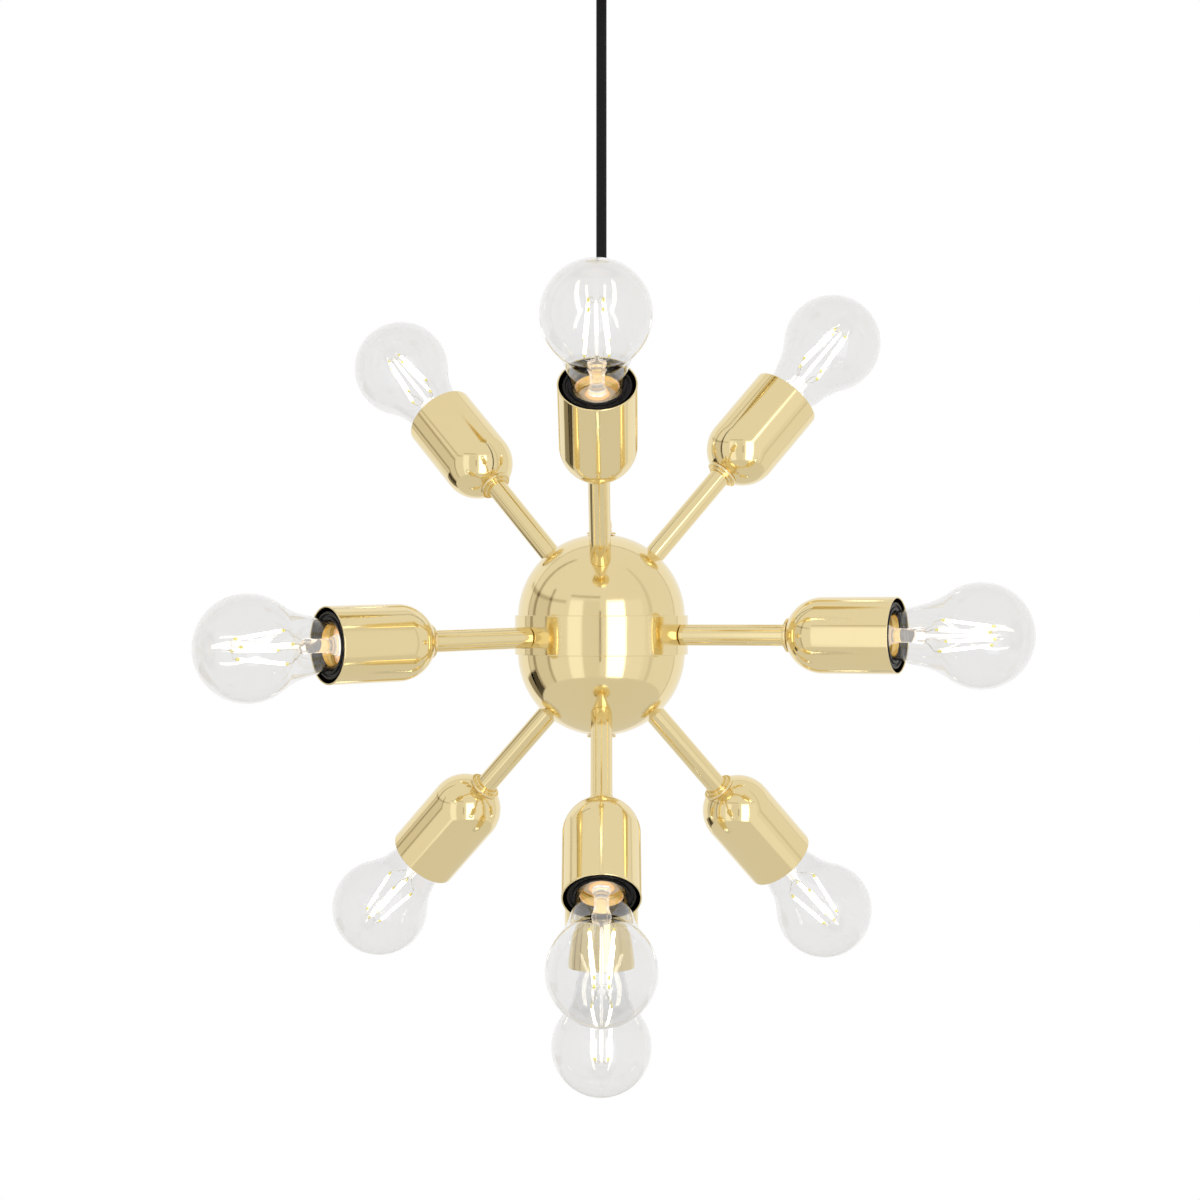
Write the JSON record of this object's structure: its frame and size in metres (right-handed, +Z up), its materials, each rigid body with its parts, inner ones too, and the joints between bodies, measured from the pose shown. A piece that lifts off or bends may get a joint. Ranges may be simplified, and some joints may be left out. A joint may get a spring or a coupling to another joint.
{
  "type": "sputnik chandelier",
  "caption": "Sputnik pendant chandelier in polished brass: a ball hub on a black cord, radiating arms with socket cups and clear filament bulbs.",
  "frame": {"origin": "ceiling plane, at the middle of the fixing strap; the pendant hangs straight below", "axes": "+Z up into the ceiling; -Y is the front, the side the picture shows; +X is to its right"},
  "size_m": [0.4642, 0.4589, 0.6988],
  "materials": {
    "polished_brass": "polished",
    "bare_brass": "satin",
    "gold_cap": "satin",
    "zinc_steel": "satin",
    "black_moulding": "gloss",
    "white_moulding": "matte",
    "black_textile": "matte",
    "clear_glass": "gloss",
    "lit_filament": "matte"
  },
  "bodies": {
    "ceiling": {"ceiling_cup": "polished_brass", "ceiling_bush": "black_moulding", "ceiling_strap": "zinc_steel", "side_screws": "polished_brass", "terminal_block": "white_moulding"},
    "cord": {"pendant_cord": "black_textile"},
    "pendant": {"cord_grip": "polished_brass", "hub_upper_shell": "polished_brass", "hub_lower_shell": "polished_brass", "hub_band": "polished_brass", "hub_tie_rod": "zinc_steel", "arm_tubes": "polished_brass", "arm_collars": "polished_brass", "arm_nipples": "zinc_steel", "hex_nuts": "zinc_steel", "lampholders_upper": "black_moulding", "lampholders_middle": "black_moulding", "lampholders_lower": "black_moulding", "lampholders_down": "black_moulding", "lampholder_contacts": "bare_brass", "socket_cup_upper_front": "polished_brass", "socket_cup_upper_left": "polished_brass", "socket_cup_upper_right": "polished_brass", "socket_cup_middle_left": "polished_brass", "socket_cup_middle_right": "polished_brass", "socket_cup_middle_back": "polished_brass", "socket_cup_lower_front": "polished_brass", "socket_cup_lower_left": "polished_brass", "socket_cup_lower_right": "polished_brass", "socket_cup_down": "polished_brass"},
    "bulb_upper_front": {"bulb_glass_upper_front": "clear_glass", "bulb_cap_upper_front": "gold_cap", "bulb_filaments_upper_front": "lit_filament"},
    "bulb_upper_left": {"bulb_glass_upper_left": "clear_glass", "bulb_cap_upper_left": "gold_cap", "bulb_filaments_upper_left": "lit_filament"},
    "bulb_upper_right": {"bulb_glass_upper_right": "clear_glass", "bulb_cap_upper_right": "gold_cap", "bulb_filaments_upper_right": "lit_filament"},
    "bulb_middle_left": {"bulb_glass_middle_left": "clear_glass", "bulb_cap_middle_left": "gold_cap", "bulb_filaments_middle_left": "lit_filament"},
    "bulb_middle_right": {"bulb_glass_middle_right": "clear_glass", "bulb_cap_middle_right": "gold_cap", "bulb_filaments_middle_right": "lit_filament"},
    "bulb_middle_back": {"bulb_glass_middle_back": "clear_glass", "bulb_cap_middle_back": "gold_cap", "bulb_filaments_middle_back": "lit_filament"},
    "bulb_lower_front": {"bulb_glass_lower_front": "clear_glass", "bulb_cap_lower_front": "gold_cap", "bulb_filaments_lower_front": "lit_filament"},
    "bulb_lower_left": {"bulb_glass_lower_left": "clear_glass", "bulb_cap_lower_left": "gold_cap", "bulb_filaments_lower_left": "lit_filament"},
    "bulb_lower_right": {"bulb_glass_lower_right": "clear_glass", "bulb_cap_lower_right": "gold_cap", "bulb_filaments_lower_right": "lit_filament"},
    "bulb_down": {"bulb_glass_down": "clear_glass", "bulb_cap_down": "gold_cap", "bulb_filaments_down": "lit_filament"}
  },
  "joints": [
    {"name": "pendant_swing", "type": "hinge", "parent": "ceiling", "child": "cord", "pos_m": [0, 0, -0.029], "axis": [0, 1, 0], "range_deg": [-20, 20]},
    {"name": "pendant_turn", "type": "hinge", "parent": "cord", "child": "pendant", "pos_m": [0, 0, -0.35001], "axis": [0, 0, 1], "range_deg": [-90, 90], "stiffness_Nm_per_rad": 0.02},
    {"name": "unscrew_upper_front", "type": "slide", "parent": "pendant", "child": "bulb_upper_front", "axis": [-0.0126, -0.7192, 0.6947], "range_m": [0, 0.03]},
    {"name": "unscrew_upper_left", "type": "slide", "parent": "pendant", "child": "bulb_upper_left", "axis": [-0.5557, 0.4663, 0.6884], "range_m": [0, 0.03]},
    {"name": "unscrew_upper_right", "type": "slide", "parent": "pendant", "child": "bulb_upper_right", "axis": [0.6219, 0.264, 0.7373], "range_m": [0, 0.03]},
    {"name": "unscrew_middle_left", "type": "slide", "parent": "pendant", "child": "bulb_middle_left", "axis": [-0.8288, -0.559, -0.0244], "range_m": [0, 0.03]},
    {"name": "unscrew_middle_right", "type": "slide", "parent": "pendant", "child": "bulb_middle_right", "axis": [0.9135, -0.4067, 0.0035], "range_m": [0, 0.03]},
    {"name": "unscrew_middle_back", "type": "slide", "parent": "pendant", "child": "bulb_middle_back", "axis": [0, 1, 0], "range_m": [0, 0.03]},
    {"name": "unscrew_lower_front", "type": "slide", "parent": "pendant", "child": "bulb_lower_front", "axis": [0, -0.6997, -0.7145], "range_m": [0, 0.03]},
    {"name": "unscrew_lower_left", "type": "slide", "parent": "pendant", "child": "bulb_lower_left", "axis": [-0.6061, 0.3642, -0.7071], "range_m": [0, 0.03]},
    {"name": "unscrew_lower_right", "type": "slide", "parent": "pendant", "child": "bulb_lower_right", "axis": [0.6081, 0.3511, -0.712], "range_m": [0, 0.03]},
    {"name": "unscrew_down", "type": "slide", "parent": "pendant", "child": "bulb_down", "axis": [0, 0, -1], "range_m": [0, 0.03]}
  ]
}
